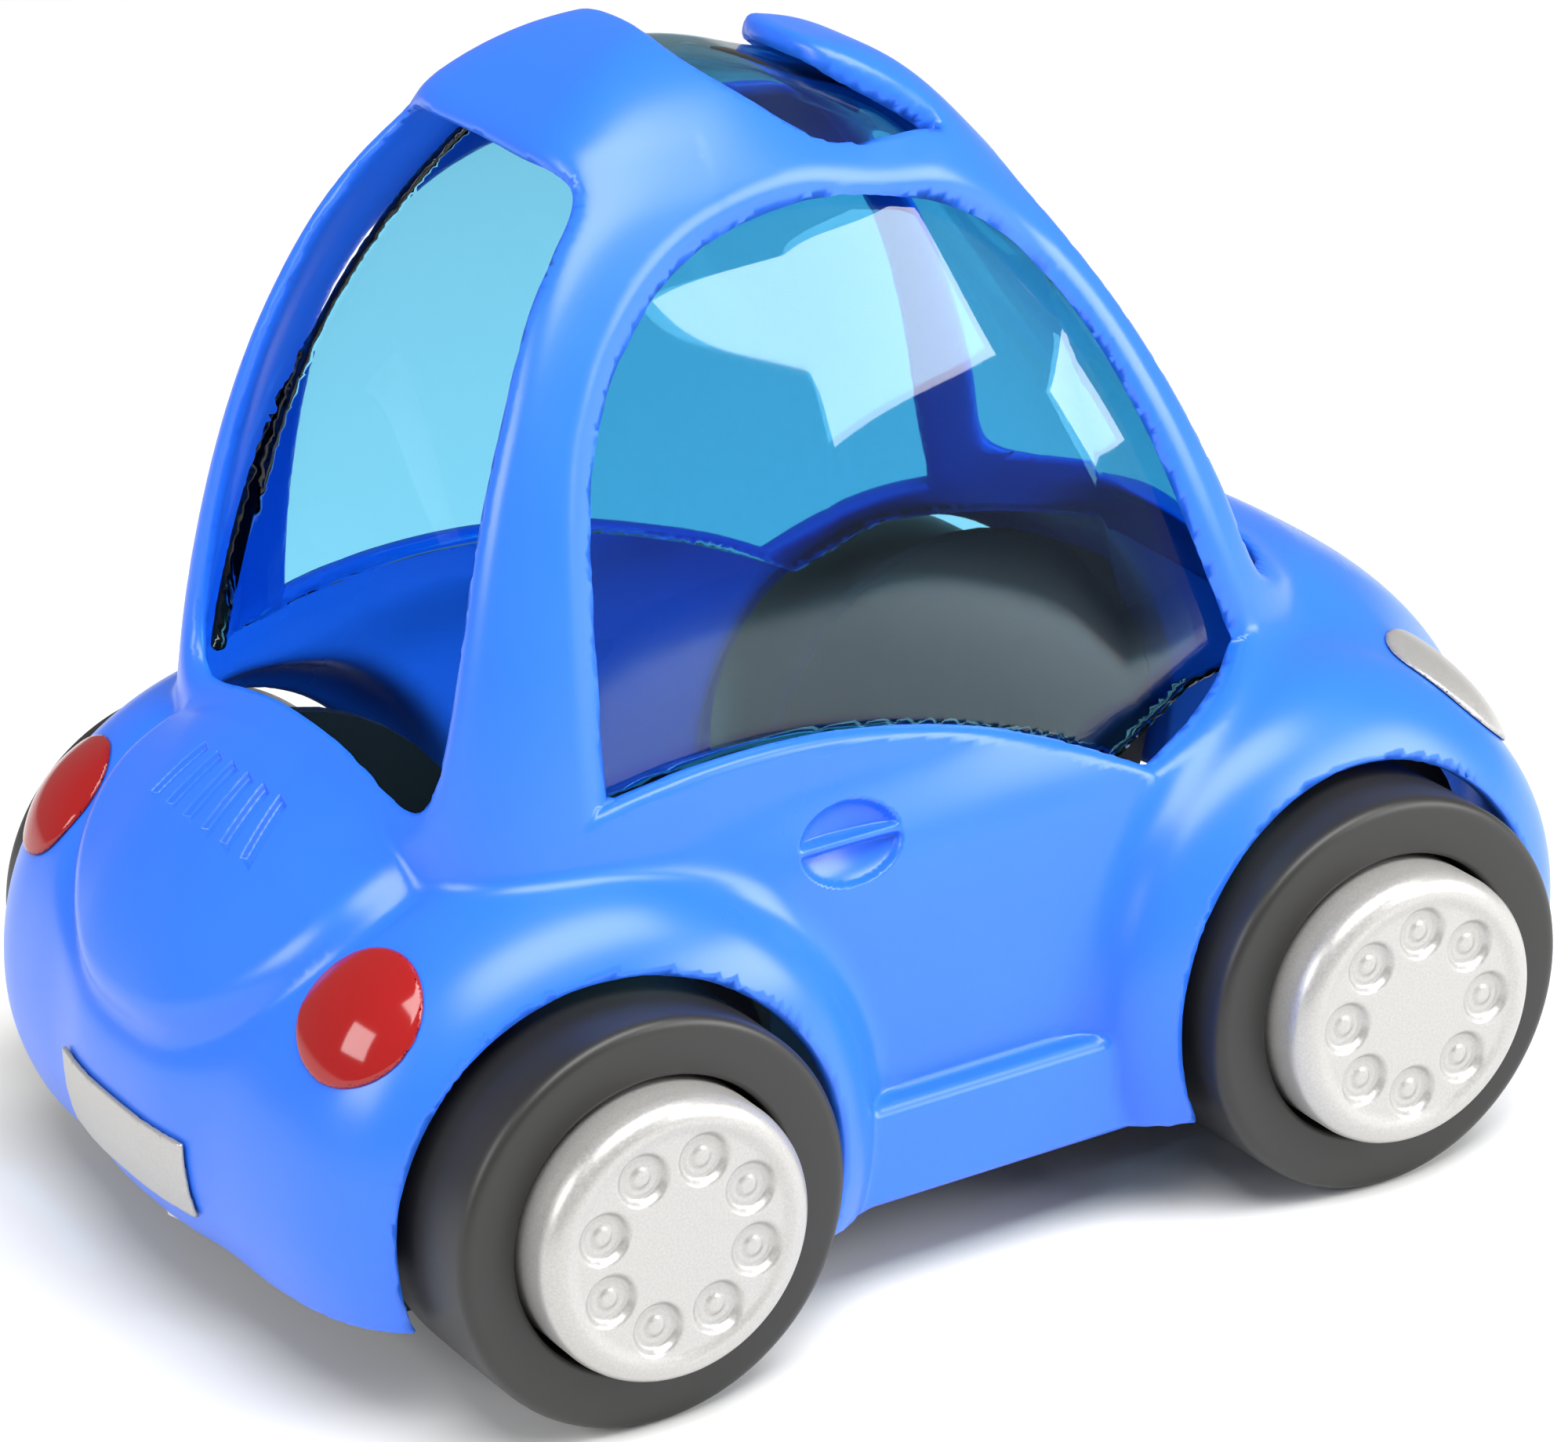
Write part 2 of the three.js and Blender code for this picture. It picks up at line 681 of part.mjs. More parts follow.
function motorHalf(side) {
  const [x0, x1] = side > 0 ? [GAP / 2, CASE.x] : [-CASE.x, -GAP / 2];
  const wall = CASE.wall;
  const inner = side > 0 ? [x0 - 1, x1 - wall] : [x0 + wall, x1 + 1];
  const body = cut(
    box(x0, x1, CASE.y0, CASE.y1, CASE.z0, CASE.z1),
    box(...inner, CASE.y0 + wall, CASE.y1 - wall, CASE.z0 + wall, CASE.z1 - wall),
  );
  const across = side > 0 ? [x1 - 0.5, x1 + EAR_REACH] : [x0 - EAR_REACH, x0 + 0.5];
  const ear = box(...across, EAR_Y - EAR_HALF, EAR_Y + EAR_HALF, EAR_Z, EAR_Z + EAR_T);
  const [sx] = MOTOR_SCREWS[side > 0 ? 1 : 0];
  return cut(
    joined(body, ear),
    bar("x", AXLE_R + RUNNING, -20, 20, AXLE_Y, AXLE_Z, 14),
    bar("x", PIN_R + GAP, -20, 20, ...LAYSHAFT, 10),
    bar("x", PIN_R + GAP, -20, 20, ...ARBOR, 10),
    bar("z", MOTOR_SCREW_R + GAP, EAR_Z - 1, EAR_Z + 3, sx, EAR_Y, 10),
  );
}

// A flat strip wound from the arbor outwards.
function mainspring() {
  const steps = SPRING.turns * 18;
  const inner = [];
  const outer = [];
  for (let i = 0; i <= steps; i++) {
    const share = i / steps;
    const angle = share * SPRING.turns * 2 * Math.PI;
    const r = SPRING.inner + share * (SPRING.outer - SPRING.inner);
    const at = (radius) => [ARBOR[0] + radius * Math.cos(angle), ARBOR[1] + radius * Math.sin(angle)];
    inner.push(at(r));
    outer.push(at(r + SPRING.strip));
  }
  return plateAlongX([...outer, ...inner.reverse()], SPRING.x0, SPRING.x1);
}

// ---- Assembly ----
add("body_shell", bodyShell(), SHELL_PAINT);
add("window_canopy", windowCanopy(), CANOPY_PAINT);
add("chassis", chassis(), CHASSIS_PAINT);
add("number_plate", numberPlate(), SILVER_PAINT);
for (const [name, side] of [
  ["left", 1],
  ["right", -1],
]) {
  add("headlight_" + name, lamp(side, HEADLIGHT_AT, HEADLIGHT_AXIS, HEADLIGHT_R, 1.4), SILVER_PAINT);
  add("taillight_" + name, lamp(side, TAILLIGHT_AT, TAILLIGHT_AXIS, TAILLIGHT_R, 1.2), LAMP_PAINT);
  for (const [end, y, turn] of [
    ["rear", AXLE_Y, rad(20)],
    ["front", -AXLE_Y, rad(4)],
  ]) {
    add("tyre_" + end + "_" + name, tyre(side, y), TYRE_PAINT);
    add("hub_" + end + "_" + name, hub(side, y, turn), SILVER_PAINT);
  }
}
for (const [name, y] of [
  ["rear_axle", AXLE_Y],
  ["front_axle", -AXLE_Y],
]) {
  add(name, bar("x", AXLE_R, -AXLE_END_X, AXLE_END_X, y, AXLE_Z, 16), STEEL_PAINT);
}

add("motor_case_left", motorHalf(1), CASE_PAINT);
add("motor_case_right", motorHalf(-1), CASE_PAINT);
const axle = [AXLE_Y, AXLE_Z];
const pinion = gear(PINION_TEETH, facing(axle, LAYSHAFT), axle, -6.2, -2.6);
add("axle_pinion", cut(pinion, bar("x", AXLE_R + GAP, -9, 9, ...axle, 14)), GEAR_PAINT);
const large = gear(LARGE_TEETH, meshing(axle, LAYSHAFT, LARGE_TEETH), LAYSHAFT, -6.2, -2.6);
const small = gear(PINION_TEETH, facing(LAYSHAFT, ARBOR), LAYSHAFT, -2.7, 1.4);
add("layshaft_gear", cut(joined(large, small), bar("x", PIN_R + GAP, -9, 9, ...LAYSHAFT, 12)), GEAR_PAINT);
const winding = gear(WINDING_TEETH, meshing(LAYSHAFT, ARBOR, WINDING_TEETH), ARBOR, -1.4, 1.4);
const sleeve = bar("x", SPRING.inner - 2 * GAP, 1.3, SPRING.x1, ...ARBOR, 14);
add("spring_gear", cut(joined(winding, sleeve), bar("x", PIN_R + GAP, -9, 9, ...ARBOR, 12)), GEAR_PAINT);
add("mainspring", mainspring(), SPRING_PAINT);
add("layshaft_pin", bar("x", PIN_R, -CASE.x, CASE.x, ...LAYSHAFT, 12), STEEL_PAINT);
add("arbor_pin", bar("x", PIN_R, -CASE.x, CASE.x, ...ARBOR, 12), STEEL_PAINT);

POST_YS.forEach((y, i) => {
  const shape = screw(0, y, WELL_Z - GAP, -1, 14, POST_HOLE_R - GAP, WELL_R - 2 * GAP);
  add("body_screw_" + (i ? "rear" : "front"), shape, STEEL_PAINT);
});
MOTOR_SCREWS.forEach(([x, y], i) => {
  const name = "motor_screw_" + (i ? "left" : "right");
  add(name, screw(x, y, EAR_Z + EAR_T + GAP, 1, 5, MOTOR_SCREW_R, 1.8), STEEL_PAINT);
});

group.position.y = WHEELBASE_SHIFT;
const part = new THREE.Group();
part.add(group);

export default part;
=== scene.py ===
"""A pull back toy car: a moulded blue shell, a tinted canopy, lamps, wheels and a clockwork motor."""

import math

import bmesh
import bpy
import numpy as np
from mathutils import Matrix, Vector


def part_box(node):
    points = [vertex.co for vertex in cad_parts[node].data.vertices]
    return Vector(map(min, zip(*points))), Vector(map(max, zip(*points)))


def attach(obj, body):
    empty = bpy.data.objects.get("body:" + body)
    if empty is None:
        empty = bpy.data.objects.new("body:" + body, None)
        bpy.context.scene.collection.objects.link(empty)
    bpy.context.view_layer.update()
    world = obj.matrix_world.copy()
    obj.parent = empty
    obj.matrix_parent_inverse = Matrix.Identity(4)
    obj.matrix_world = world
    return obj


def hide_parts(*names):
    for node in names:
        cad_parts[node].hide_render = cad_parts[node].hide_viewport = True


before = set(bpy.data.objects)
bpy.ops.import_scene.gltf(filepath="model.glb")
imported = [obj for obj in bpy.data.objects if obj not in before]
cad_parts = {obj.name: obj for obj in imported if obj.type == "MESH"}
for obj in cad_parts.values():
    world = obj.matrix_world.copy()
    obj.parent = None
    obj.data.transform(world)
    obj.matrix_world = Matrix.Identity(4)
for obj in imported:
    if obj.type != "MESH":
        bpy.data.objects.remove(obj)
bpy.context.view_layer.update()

# ---- Places from the frame, in millimetres from the middle of the wheelbase ----
MM = 0.001


def middle(node):
    low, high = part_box(node)
    return (low + high) / 2 / MM


REAR_WHEEL = middle("tyre_rear_left")
FRONT_WHEEL = middle("tyre_front_left")
SHIFT_Y = (REAR_WHEEL.y + FRONT_WHEEL.y) / 2
AXLE_Y = (REAR_WHEEL.y - FRONT_WHEEL.y) / 2
AXLE_Z = REAR_WHEEL.z
TYRE_R = (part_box("tyre_rear_left")[1].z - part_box("tyre_rear_left")[0].z) / 2 / MM
TYRE_IN_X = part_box("tyre_rear_left")[0].x / MM
TYRE_OUT_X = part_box("tyre_rear_left")[1].x / MM
HUB_OUT_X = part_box("hub_rear_left")[1].x / MM
HUB_R = (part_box("hub_rear_left")[1].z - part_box("hub_rear_left")[0].z) / 2 / MM
DIMPLE_RING_R = 7.7
DIMPLE_R = 2.6
PLATE_LOW, PLATE_HIGH = (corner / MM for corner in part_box("number_plate"))

# ---- Driving dimensions of the form ----
WALL = 2.2
GAP = 0.3
GLASS = 1.5
ROOF_Z = 109.7
REAR_Y = 68.5
FRONT_Y = 75.0
BODY_HALF_WIDTH = 46.0
DOOR_HALF_WIDTH = 36.0
WAIST_Z = 20.0
SHELL_BOTTOM_Z = 10.0
ARCH_R = 20.4
HANDLE = (34.4, 11.2, 43.3)
HEADLIGHT_AT = (28.0, -59.0, 39.5)
TAILLIGHT_AT = (29.2, 57.6, 38.0)


# ---- Field arithmetic: distances in millimetres, negative inside ----
def power(value, half, exponent):
    return (np.abs(value) / half) ** exponent


def distance(level, x, y, z):
    """A level function, 1 on the surface, as a distance by its own slope."""
    step = 0.01
    here = level(x, y, z)
    along_x = level(x + step, y, z) - here
    along_y = level(x, y + step, z) - here
    along_z = level(x, y, z + step) - here
    slope = np.sqrt(along_x**2 + along_y**2 + along_z**2) / step
    return (here - 1) / np.maximum(slope, 1e-6)


def soft_min(a, b, radius):
    t = np.maximum(radius - np.abs(a - b), 0) / radius
    return np.minimum(a, b) - t * t * radius / 4


def soft_max(a, b, radius):
    return -soft_min(-a, -b, radius)


def ramp(value, low, high):
    t = np.clip((value - low) / (high - low), 0, 1)
    return t * t * (3 - 2 * t)


# ---- Forms of the body ----
CABIN = dict(y=6.3, rear=43.6, front=62.8, half=34.6, base=15.0, blend=30.0)


def cabin(x, y, z):
    """The cabin's level: squarer behind its middle than in front of it."""
    length = np.where(y > CABIN["y"], CABIN["rear"], CABIN["front"])
    rearward = ramp(y, CABIN["y"] - CABIN["blend"], CABIN["y"])
    square = 3.5 + 2.2 * rearward
    upright = 1.67 + 0.57 * rearward
    plan = power(x, CABIN["half"], square) + power(y - CABIN["y"], length, square)
    rise = power(np.maximum(z - CABIN["base"], 0), ROOF_Z - CABIN["base"], upright)
    return (plan ** (upright / square) + rise) ** (1 / upright)


def cabin_distance(x, y, z):
    """The roof dips in front of its slot."""
    dip = 2.4 * np.exp(-((y + 4) / 7.5) ** 2) * ramp(z, 92, 103)
    return distance(cabin, x, y, z) + dip


def hull(half, plan_exponent, x, y, z):
    vertical = 2.2
    length = np.where(y > 0, REAR_Y, FRONT_Y)
    height = np.where(z > WAIST_Z, 42.0, 32.0)
    plan = power(x, half, plan_exponent) + power(y, length, plan_exponent)
    whole = plan ** (vertical / plan_exponent) + power(z - WAIST_Z, height, vertical)
    return whole ** (1 / vertical)


def outline(x, y, z):
    return hull(BODY_HALF_WIDTH, 4, x, y, z)


def deck(x, y, z):
    return hull(34, 2.6, x, y, z)


def doors(x, y, z):
    height = power(np.maximum(z - 25, 0), 32.4, 4)
    return (power(x, DOOR_HALF_WIDTH, 4) + power(y, 45, 4) + height) ** 0.25


FENDER = dict(x=28.0, half=17.5, radius=27.5, exponent=3.3)


def fenders(x, y, z):
    across = power(np.abs(x) - FENDER["x"], FENDER["half"], FENDER["exponent"])
    around = power(np.hypot(np.abs(y) - AXLE_Y, z - AXLE_Z), FENDER["radius"], FENDER["exponent"])
    return (across + around) ** (1 / FENDER["exponent"])


# ---- Openings ----
def smooth_closed(points, steps=10):
    """A closed Catmull-Rom curve through the points."""
    points = np.array(points, float)
    before, after, later = np.roll(points, 1, 0), np.roll(points, -1, 0), np.roll(points, -2, 0)
    t = (np.arange(steps) / steps)[None, :, None]
    p0, p1, p2, p3 = (p[:, None, :] for p in (before, points, after, later))
    linear = p2 - p0
    square = 2 * p0 - 5 * p1 + 4 * p2 - p3
    cubic = 3 * p1 - p0 - 3 * p2 + p3
    curve = 0.5 * (2 * p1 + linear * t + square * t**2 + cubic * t**3)
    return curve.reshape(-1, 2)


def outline_distance(points, reach=14.0, pitch=0.3):
    """A function for the signed distance in the plane to a smooth closed outline."""
    curve = smooth_closed(points)
    low = curve.min(0) - reach
    counts = np.ceil((curve.max(0) + reach - low) / pitch).astype(int) + 1
    u, v = np.meshgrid(*(low[i] + pitch * np.arange(counts[i]) for i in range(2)), indexing="ij")
    best = np.full(u.shape, 1e9)
    inside = np.zeros(u.shape, bool)
    for a, b in zip(curve, np.roll(curve, -1, 0)):
        edge = b - a
        share = np.clip(((u - a[0]) * edge[0] + (v - a[1]) * edge[1]) / (edge @ edge), 0, 1)
        best = np.minimum(best, np.hypot(u - a[0] - share * edge[0], v - a[1] - share * edge[1]))
        if a[1] != b[1]:
            crossed = (a[1] > v) != (b[1] > v)
            inside ^= crossed & (u < a[0] + (v - a[1]) / (b[1] - a[1]) * edge[0])
    signed = np.where(inside, -best, best)

    def lookup(p, q):
        s = np.clip((p - low[0]) / pitch, 0, counts[0] - 1.001)
        t = np.clip((q - low[1]) / pitch, 0, counts[1] - 1.001)
        i, j = s.astype(int), t.astype(int)
        s, t = s - i, t - j
        near = signed[i, j] * (1 - t) + signed[i, j + 1] * t
        far = signed[i + 1, j] * (1 - t) + signed[i + 1, j + 1] * t
        return near * (1 - s) + far * s

    return lookup


def mirrored(right):
    return right + [(-u, v) for u, v in reversed(right) if u > 0]


REAR_WINDOW = outline_distance(mirrored([
    (0, 51.2), (6, 51.0), (12, 50.1), (17, 49.1), (20.6, 49.3), (22.9, 51.4), (24.0, 55), (24.3, 60),
    (24.0, 66), (23.3, 72), (22.4, 78), (21.2, 84.4), (19.3, 91), (18.0, 95.2), (16.5, 98.7),
    (14.5, 100.9), (11.5, 101.9), (6, 102.1), (0, 102.2),
]))
WINDSCREEN = outline_distance(mirrored([
    (0, 50), (12, 50.2), (19.5, 50.4), (22.6, 51.6), (22.9, 54.5), (21.1, 61), (18.8, 69), (15.9, 78),
    (12.8, 86.4), (9.8, 91.6), (6, 93.9), (0, 94.6),
]))
ROOF_SLOT = outline_distance(mirrored([
    (0, 10.4), (4.5, 10.5), (8.2, 9.7), (10.8, 7.8), (12.7, 5.4), (14.0, 2.6), (14.6, -1), (14.4, -5.5),
    (13.6, -11), (12.9, -13.6), (11.6, -13.2), (10.2, -10.5), (8.3, -7.6), (5.4, -5.2), (0, -4.2),
]))
SIDE_RIDGE = outline_distance([
    (35.0, 38), (34.9, 50.8), (34.7, 57), (34.3, 62.5), (33.8, 67.5), (33.1, 72.6), (32.2, 77), (31.0, 80.9),
    (29.2, 84.5), (26.3, 88.7), (21.1, 93.3), (14.7, 96.4), (6.2, 97.9), (-1.1, 97.4), (-10.5, 94.9),
    (-17.6, 90.9), (-22.9, 85.8), (-27.7, 78.5), (-31.9, 68.1), (-34.9, 57.1), (-37.0, 49.3), (-38.6, 40),
    (-20, 32), (15, 32),
])
TRUNK_LID = outline_distance(mirrored([
    (0, 28.7), (7, 29.3), (12.5, 31.3), (17, 34.2), (20.4, 37.6), (22.6, 41.4), (23.4, 46), (23.4, 58), (0, 62),
]))


def body_distance(x, y, z):
    lower = soft_min(distance(deck, x, y, z), distance(doors, x, y, z), 3.0)
    lower = soft_min(lower, distance(fenders, x, y, z), 3.0 + 5.0 * ramp(np.abs(y), 44, 56))
    trimmed = soft_max(lower, distance(outline, x, y, z), 6.0)
    beside_lid = TRUNK_LID(x, z)
    lid = 1.1 * ramp(-beside_lid, -1.2, 3.5) - 0.5 * np.exp(-((beside_lid - 0.6) / 1.7) ** 2)
    trimmed = trimmed - lid * ramp(y, 44, 50) * ramp(62 - z, 2, 12)
    return soft_min(trimmed, cabin_distance(x, y, z), 1.2)


def side_sill(y):
    """Height of the lower edge of a side window: the door's top, then the front fender's."""
    return np.maximum(53 - 0.0072 * (y - 18.5) ** 2, 42.1 - 0.42 * (y + 20.8))


LIP = 2.2  # width and depth of the slanted lip round a side window
LIP_DEPTH = 1.5


def windows(x, y, z, depth):
    """Negative where the shell is open for the glass; depth is the distance below the cabin's form.
    The openings narrow with depth, so that their walls stand square to the shell."""
    narrowing = 0.75 * np.clip(depth, 0, 3)
    side = SIDE_RIDGE(y, z) + np.clip(depth * LIP / LIP_DEPTH, 0, LIP)
    side = np.maximum(side / 1.4, (side_sill(y) - z) * 0.95)
    side = np.maximum(side, 9 - np.abs(x))
    rear = np.maximum(REAR_WINDOW(x, z) + narrowing, 14 - y) / 1.2
    front = np.maximum(WINDSCREEN(x, z) + narrowing, y + 14) / 1.2
    slot = np.maximum(ROOF_SLOT(x, y) + 0.4 * narrowing, 92 - z)
    return side, rear, front, slot


def arches(x, y, z):
    return np.maximum(np.hypot(np.abs(y) - AXLE_Y, z - AXLE_Z) - ARCH_R, 24 - np.abs(x))


def rounded_box(x, y, z, centre, half, radius):
    q = [np.abs(v - c) - h + radius for v, c, h in zip((x, y, z), centre, half)]
    outside = np.sqrt(sum(np.maximum(v, 0) ** 2 for v in q))
    return outside + np.minimum(np.maximum(np.maximum(q[0], q[1]), q[2]), 0) - radius


def handle(x, y, z):
    """How far the oval hollow in each door sinks, parted by a level grip."""
    across, up = (y - HANDLE[1]) / 5.3, (z - HANDLE[2]) / 3.75
    away = np.hypot(across, up)
    bowl = 1.9 * np.sqrt(np.maximum(1 - away**2, 0)) * ramp(1 - away, 0, 0.12)
    grip = 1 - ramp(np.abs(z - HANDLE[2] - 0.3), 0.15, 0.75)
    return bowl * (1 - 0.92 * grip) * ramp(np.abs(x), 25, 28)


def vents(x, y, z):
    """How far six slots sink that fan out across the top of the trunk lid."""
    depth = np.zeros(np.shape(x))
    for i in range(6):
        share = (i - 2.5) / 2.5
        along, up = y - 54.0, z - 45.6
        run = along * 0.81 - up * 0.58
        across = x - share * (8.3 + 0.25 * run)
        inside = np.minimum(0.75 - np.abs(across), 3.1 - np.abs(run + 0.25 * across))
        depth = np.maximum(depth, 0.6 * ramp(inside, -0.25, 0.3))
    return depth * ramp(z, 38, 40)


def emboss(x, y, z):
    return handle(x, y, z) + vents(x, y, z)


def shell_field(x, y, z):
    outside = body_distance(x, y, z)
    sill = rounded_box(x, y, z, (0, 3.0, 12), (38.9, 18.4, 7.4), 1.3)
    outer = soft_min(outside, np.maximum(sill, 30 - np.abs(x)), 0.6)
    wall = soft_max(outer, -(outside + WALL), 0.2)
    side, rear, front, slot = windows(x, y, z, -outside)
    wall = soft_max(wall, -side, 0.9)
    wall = soft_max(wall, -rear, 1.8)
    wall = soft_max(wall, -front, 1.0)
    wall = soft_max(wall, -slot, 0.9)
    wall = soft_max(wall, -arches(x, y, z), 0.8)
    return soft_max(wall, SHELL_BOTTOM_Z - z, 0.7)


def canopy_field(x, y, z):
    depth = cabin_distance(x, y, z) + WALL + 2 * GAP
    glass = soft_max(depth, -(depth + GLASS), 0.3)
    inner_side = 38 - 0.0086 * np.maximum(z - 50, 0) ** 2 - y
    glass = soft_max(glass, -np.maximum(REAR_WINDOW(x, z) - 1.2, 0.75 * inner_side), 0.4)
    return soft_max(glass, side_sill(np.clip(y, -30, 36)) - 0.9 - z, 0.3)


# ---- Meshes from fields ----
def gradient(field, p, step=0.15):
    slopes = []
    for axis in range(3):
        offset = np.zeros(3)
        offset[axis] = step
        ahead, back = p + offset, p - offset
        slopes.append((field(*ahead.T) - field(*back.T)) / (2 * step))
    return np.stack(slopes, 1)


def sampled(field, low, counts, cell, block=4):
    """Field values on a grid, worked out finely only near the surface."""
    blocks = [
        low[i] + cell * (np.arange(counts[i] // block) * block + (block - 1) / 2)
        for i in range(3)
    ]
    rough = field(*np.meshgrid(*blocks, indexing="ij"))
    near = np.abs(rough) < 1.6 * block * cell + 1
    for axis in range(3):
        rough = np.repeat(rough, block, axis)
        near = np.repeat(near, block, axis)
    index = np.nonzero(near)
    rough[index] = field(*(low[i] + cell * index[i] for i in range(3)))
    return rough


def surface_net(field, low, high, cell):
    """Vertices and quads of the field's zero surface: one vertex in each grid cell that it crosses."""
    low = np.array(low, float)
    counts = (np.ceil((np.array(high) - low) / cell / 4).astype(int) + 1) * 4
    values = sampled(field, low, counts, cell)
    strides = np.array([counts[1] * counts[2], counts[2], 1])
    inside = values < 0
    cells, points, quads = [], [], []
    for axis in range(3):
        u, w = (axis + 1) % 3, (axis + 2) % 3
        first = [slice(1, -1)] * 3
        second = [slice(1, -1)] * 3
        first[axis], second[axis] = slice(0, -1), slice(1, None)
        index = np.argwhere(inside[tuple(first)] != inside[tuple(second)])
        index += np.array([0 if i == axis else 1 for i in range(3)])
        step = np.eye(3, dtype=int)
        start = values[tuple(index.T)]
        end = values[tuple((index + step[axis]).T)]
        point = low + cell * (index + (start / (start - end))[:, None] * step[axis])
        ring = [index - step[u] - step[w], index - step[w], index, index - step[u]]
        ids = np.stack([r @ strides for r in ring], 1)
        for i in range(4):
            cells.append(ids[:, i])
            points.append(point)
        quads.append(np.where((start < 0)[:, None], ids, ids[:, ::-1]))
    cells, points, quads = np.concatenate(cells), np.concatenate(points), np.concatenate(quads)
    names, where = np.unique(cells, return_inverse=True)
    vertices, flat = sharpened(field, points, where, cell)
    return vertices, np.searchsorted(names, quads), flat


def sharpened(field, points, where, cell):
    """Puts each cell's vertex where the planes at its crossings meet, so that edges stay crisp."""
    count = np.bincount(where)
    middles = np.stack([np.bincount(where, points[:, i]) / count for i in range(3)], 1)
    normals = gradient(field, points, 0.05)
    normals /= np.maximum(np.linalg.norm(normals, axis=1, keepdims=True), 1e-9)
    offset = (normals * (points - middles[where])).sum(1)
    matrix = np.zeros((len(count), 3, 3))
    right = np.zeros((len(count), 3))
    total = np.zeros((len(count), 3))
    for i in range(3):
        right[:, i] = np.bincount(where, normals[:, i] * offset)
        total[:, i] = np.bincount(where, normals[:, i])
        for j in range(3):
            matrix[:, i, j] = np.bincount(where, normals[:, i] * normals[:, j])
        matrix[:, i, i] += 0.06 * count
    move = np.linalg.solve(matrix, right[:, :, None])[:, :, 0]
    length = np.linalg.norm(move, axis=1, keepdims=True)
    move *= np.minimum(1, 0.8 * cell / np.maximum(length, 1e-9))
    flat = np.linalg.norm(total, axis=1) / count > 0.93
    return middles + move, flat


def settle(field, vertices, limit):
    """Moves vertices along the field's slope onto its surface."""
    slope = gradient(field, vertices)
    size = np.maximum((slope**2).sum(1), 1e-4)
    move = (field(*vertices.T) / size)[:, None] * slope
    length = np.linalg.norm(move, axis=1, keepdims=True)
    return vertices - move * np.minimum(1, limit / np.maximum(length, 1e-9))


def relax(vertices, quads, flat, share=0.5):
    """Moves each vertex towards the middle of its neighbours, and those on an edge only along it."""
    total = np.zeros_like(vertices)
    count = np.zeros(len(vertices))
    for i in range(4):
        a, b = quads[:, i], quads[:, (i + 1) % 4]
        for one, other in ((a, b), (b, a)):
            alike = flat[one] | ~flat[other]
            one, other = one[alike], other[alike]
            for axis in range(3):
                total[:, axis] += np.bincount(one, vertices[other, axis], len(vertices))
            count += np.bincount(one, minlength=len(vertices))
    middle = total / np.maximum(count, 1)[:, None]
    return vertices + share * np.where(count[:, None] > 0, middle - vertices, 0)


def field_mesh(name, field, low, high, cell, fine=(), sunk=None):
    """A smooth object on the field's surface. Boxes (low, high, cuts) in fine are meshed more finely,
    and their outer face is sunk by the depth that sunk gives."""
    vertices, quads, flat = surface_net(field, low, high, cell)
    for _ in range(3):
        vertices = settle(field, relax(vertices, quads, flat), cell)
    vertices = settle(field, vertices, 0.3 * cell)
    mesh = bpy.data.meshes.new(name)
    mesh.from_pydata(vertices.tolist(), [], quads.tolist())
    for near, far, cuts in fine:
        divide(mesh, near, far, cuts)
    vertices = np.empty(len(mesh.vertices) * 3)
    mesh.vertices.foreach_get("co", vertices)
    vertices = vertices.reshape(-1, 3)
    faces = [tuple(polygon.vertices) for polygon in mesh.polygons]
    if fine:
        vertices = settle(field, vertices, 0.3)
    normals = gradient(field, vertices)
    normals /= np.maximum(np.linalg.norm(normals, axis=1, keepdims=True), 1e-9)
    if sunk:
        outer = (np.abs(body_distance(*vertices.T)) < 0.5)[:, None]
        depth = sunk(*vertices.T)[:, None] * outer
        slope = gradient(sunk, vertices, 0.06) * outer
        slope -= normals * (normals * slope).sum(1, keepdims=True)
        vertices = vertices - normals * depth
        normals = normals + slope
        normals /= np.linalg.norm(normals, axis=1, keepdims=True)
    bpy.data.meshes.remove(mesh)
    return piece(name, vertices, faces, normals)


def divide(mesh, near, far, cuts):
    """Cuts up the faces inside a box."""
    grid = bmesh.new()
    grid.from_mesh(mesh)
    edges = set()
    for face in grid.faces:
        centre = face.calc_center_median()
        if all(near[i] < centre[i] < far[i] for i in range(3)):
            edges.update(face.edges)
    bmesh.ops.subdivide_edges(grid, edges=list(edges), cuts=cuts, use_grid_fill=True)
    grid.to_mesh(mesh)
    grid.free()


def piece(name, vertices, faces, normals=None):
    """A smooth object from points in millimetres from the middle of the wheelbase."""
    mesh = bpy.data.meshes.new(name)
    placed = (np.asarray(vertices, float) + (0, SHIFT_Y, 0)) * MM
    mesh.from_pydata(placed.tolist(), [], faces)
    mesh.update()
    mesh.polygons.foreach_set("use_smooth", [True] * len(mesh.polygons))
    if normals is not None:
        mesh.normals_split_custom_set_from_vertices(normals.tolist())
    obj = bpy.data.objects.new(name, mesh)
    bpy.context.scene.collection.objects.link(obj)
    return obj


def finished(obj, material, body, node):
    obj.data.materials.append(material)
    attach(obj, body)
    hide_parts(node)
    return obj


# ---- Materials ----
def new_material(name):
    material = bpy.data.materials.new(name)
    material.use_nodes = True
    return material, material.node_tree, material.node_tree.nodes["Principled BSDF"]


def noise(tree, scale, detail=2.0):
    coordinates = tree.nodes.new("ShaderNodeTexCoord")
    texture = tree.nodes.new("ShaderNodeTexNoise")
    texture.inputs["Scale"].default_value = scale
    texture.inputs["Detail"].default_value = detail
    tree.links.new(coordinates.outputs["Object"], texture.inputs["Vector"])
    return texture


